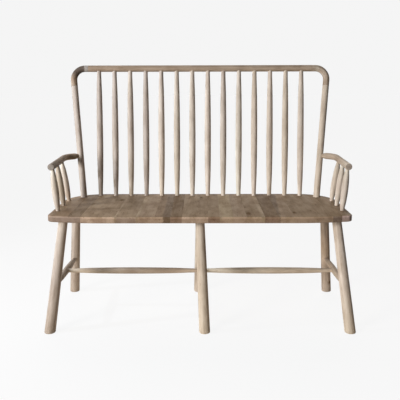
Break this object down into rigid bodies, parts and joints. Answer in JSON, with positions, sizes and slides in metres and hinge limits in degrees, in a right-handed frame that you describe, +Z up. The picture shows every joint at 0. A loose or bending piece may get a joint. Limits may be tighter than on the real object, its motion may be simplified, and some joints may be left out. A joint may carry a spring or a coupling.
{
  "type": "hall bench",
  "caption": "Spindle-back hall bench in pale limed oak: flat stave seat, bowed back with turned spindles, curved arms, splayed round legs joined by stretchers; seats people side by side",
  "frame": {"origin": "on the floor, under the middle of the bounding box", "axes": "+X to the right as seen from the front, +Y to the back of the bench, +Z up"},
  "size_m": [1.1818, 0.5268, 0.9985],
  "materials": {
    "seat_oak": "limed oak staves, oiled matt, grain from front to back",
    "frame_oak": "pale limed oak, turned and sanded, matt",
    "bow_oak": "mid-brown oak, sanded, matt",
    "dowel_beech": "plain beech, hidden in the joints"
  },
  "bodies": {
    "root": {"seat_stave_01": "seat_oak", "seat_stave_02": "seat_oak", "seat_stave_03": "seat_oak", "seat_stave_04": "seat_oak", "seat_stave_05": "seat_oak", "seat_stave_06": "seat_oak", "seat_stave_07": "seat_oak", "seat_stave_08": "seat_oak", "seat_stave_09": "seat_oak", "seat_stave_10": "seat_oak", "seat_stave_11": "seat_oak", "seat_stave_12": "seat_oak", "seat_stave_13": "seat_oak", "seat_stave_14": "seat_oak", "seat_stave_15": "seat_oak", "seat_stave_16": "seat_oak", "seat_stave_17": "seat_oak", "seat_stave_18": "seat_oak", "back_spindle_01": "frame_oak", "back_spindle_02": "frame_oak", "back_spindle_03": "frame_oak", "back_spindle_04": "frame_oak", "back_spindle_05": "frame_oak", "back_spindle_06": "frame_oak", "back_spindle_07": "frame_oak", "back_spindle_08": "frame_oak", "back_spindle_09": "frame_oak", "back_spindle_10": "frame_oak", "back_spindle_11": "frame_oak", "back_spindle_12": "frame_oak", "back_spindle_13": "frame_oak", "back_spindle_14": "frame_oak", "left_post": "frame_oak", "left_bow_corner": "bow_oak", "left_arm": "frame_oak", "left_arm_spindle_1": "frame_oak", "left_arm_spindle_2": "frame_oak", "left_arm_spindle_3": "frame_oak", "left_long_stretcher": "frame_oak", "left_post_dowel": "dowel_beech", "left_rail_dowel": "dowel_beech", "right_post": "frame_oak", "right_bow_corner": "bow_oak", "right_arm": "frame_oak", "right_arm_spindle_1": "frame_oak", "right_arm_spindle_2": "frame_oak", "right_arm_spindle_3": "frame_oak", "right_long_stretcher": "frame_oak", "right_post_dowel": "dowel_beech", "right_rail_dowel": "dowel_beech", "top_rail": "bow_oak", "left_cross_stretcher": "frame_oak", "middle_cross_stretcher": "frame_oak", "right_cross_stretcher": "frame_oak", "front_left_leg": "frame_oak", "front_middle_leg": "frame_oak", "front_right_leg": "frame_oak", "rear_left_leg": "frame_oak", "rear_middle_leg": "frame_oak", "rear_right_leg": "frame_oak"}
  },
  "joints": []
}
